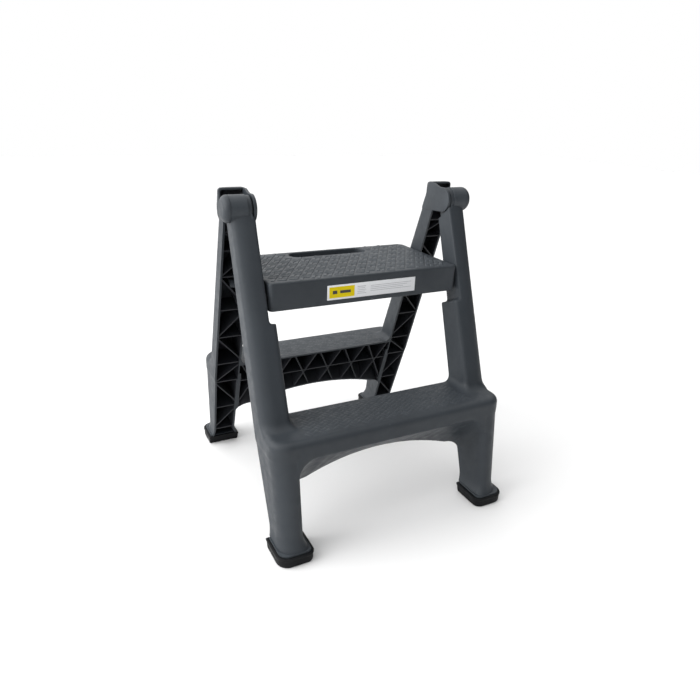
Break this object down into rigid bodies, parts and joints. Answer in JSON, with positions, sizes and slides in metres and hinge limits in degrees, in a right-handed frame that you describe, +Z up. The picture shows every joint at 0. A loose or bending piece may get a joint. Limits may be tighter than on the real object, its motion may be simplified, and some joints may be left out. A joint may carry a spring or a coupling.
{
  "type": "folding step stool",
  "caption": "Two-sided folding step stool with moulded frames hinged at the top, a tread low on each side and a pivoting top platform with a hand slot.",
  "frame": {"origin": "on the floor, under the middle of the open stool's bounding box", "axes": "+Z up, +X to the right along the hinge axis and the treads, -Y towards the front frame, where the platform skirt carries its label"},
  "size_m": [0.516, 0.536, 0.619],
  "materials": {
    "frame_plastic": "fine moulded grain, satin",
    "boot_rubber": "moulded matt",
    "pin_steel": "bright zinc",
    "washer_nylon": "plain",
    "label_film": "satin film"
  },
  "bodies": {
    "front": {"front_frame": "frame_plastic", "front_boot_right": "boot_rubber", "front_boot_left": "boot_rubber", "hinge_cap_right": "frame_plastic", "hinge_cap_left": "frame_plastic", "hinge_pin_right": "pin_steel", "hinge_pin_left": "pin_steel", "hinge_washer_right": "washer_nylon", "hinge_washer_left": "washer_nylon", "platform_pin_right": "pin_steel", "platform_pin_left": "pin_steel", "platform_spacer_right": "washer_nylon", "platform_spacer_left": "washer_nylon"},
    "rear": {"rear_frame": "frame_plastic", "rear_boot_right": "boot_rubber", "rear_boot_left": "boot_rubber", "rest_pin_right": "pin_steel", "rest_pin_left": "pin_steel"},
    "platform": {"top_platform": "frame_plastic", "skirt_label": "label_film"}
  },
  "joints": [
    {"name": "frame_fold", "type": "hinge", "parent": "front", "child": "rear", "pos_m": [0, -0.023, 0.589], "axis": [1, 0, 0], "range_deg": [-37.5, 0]},
    {"name": "platform_fold", "type": "hinge", "parent": "front", "child": "platform", "pos_m": [0, -0.074, 0.44], "axis": [1, 0, 0], "range_deg": [0, 70.7]}
  ],
  "couplings": [
    {"joint": "platform_fold", "follows": "frame_fold", "ratio": -1.8834}
  ]
}
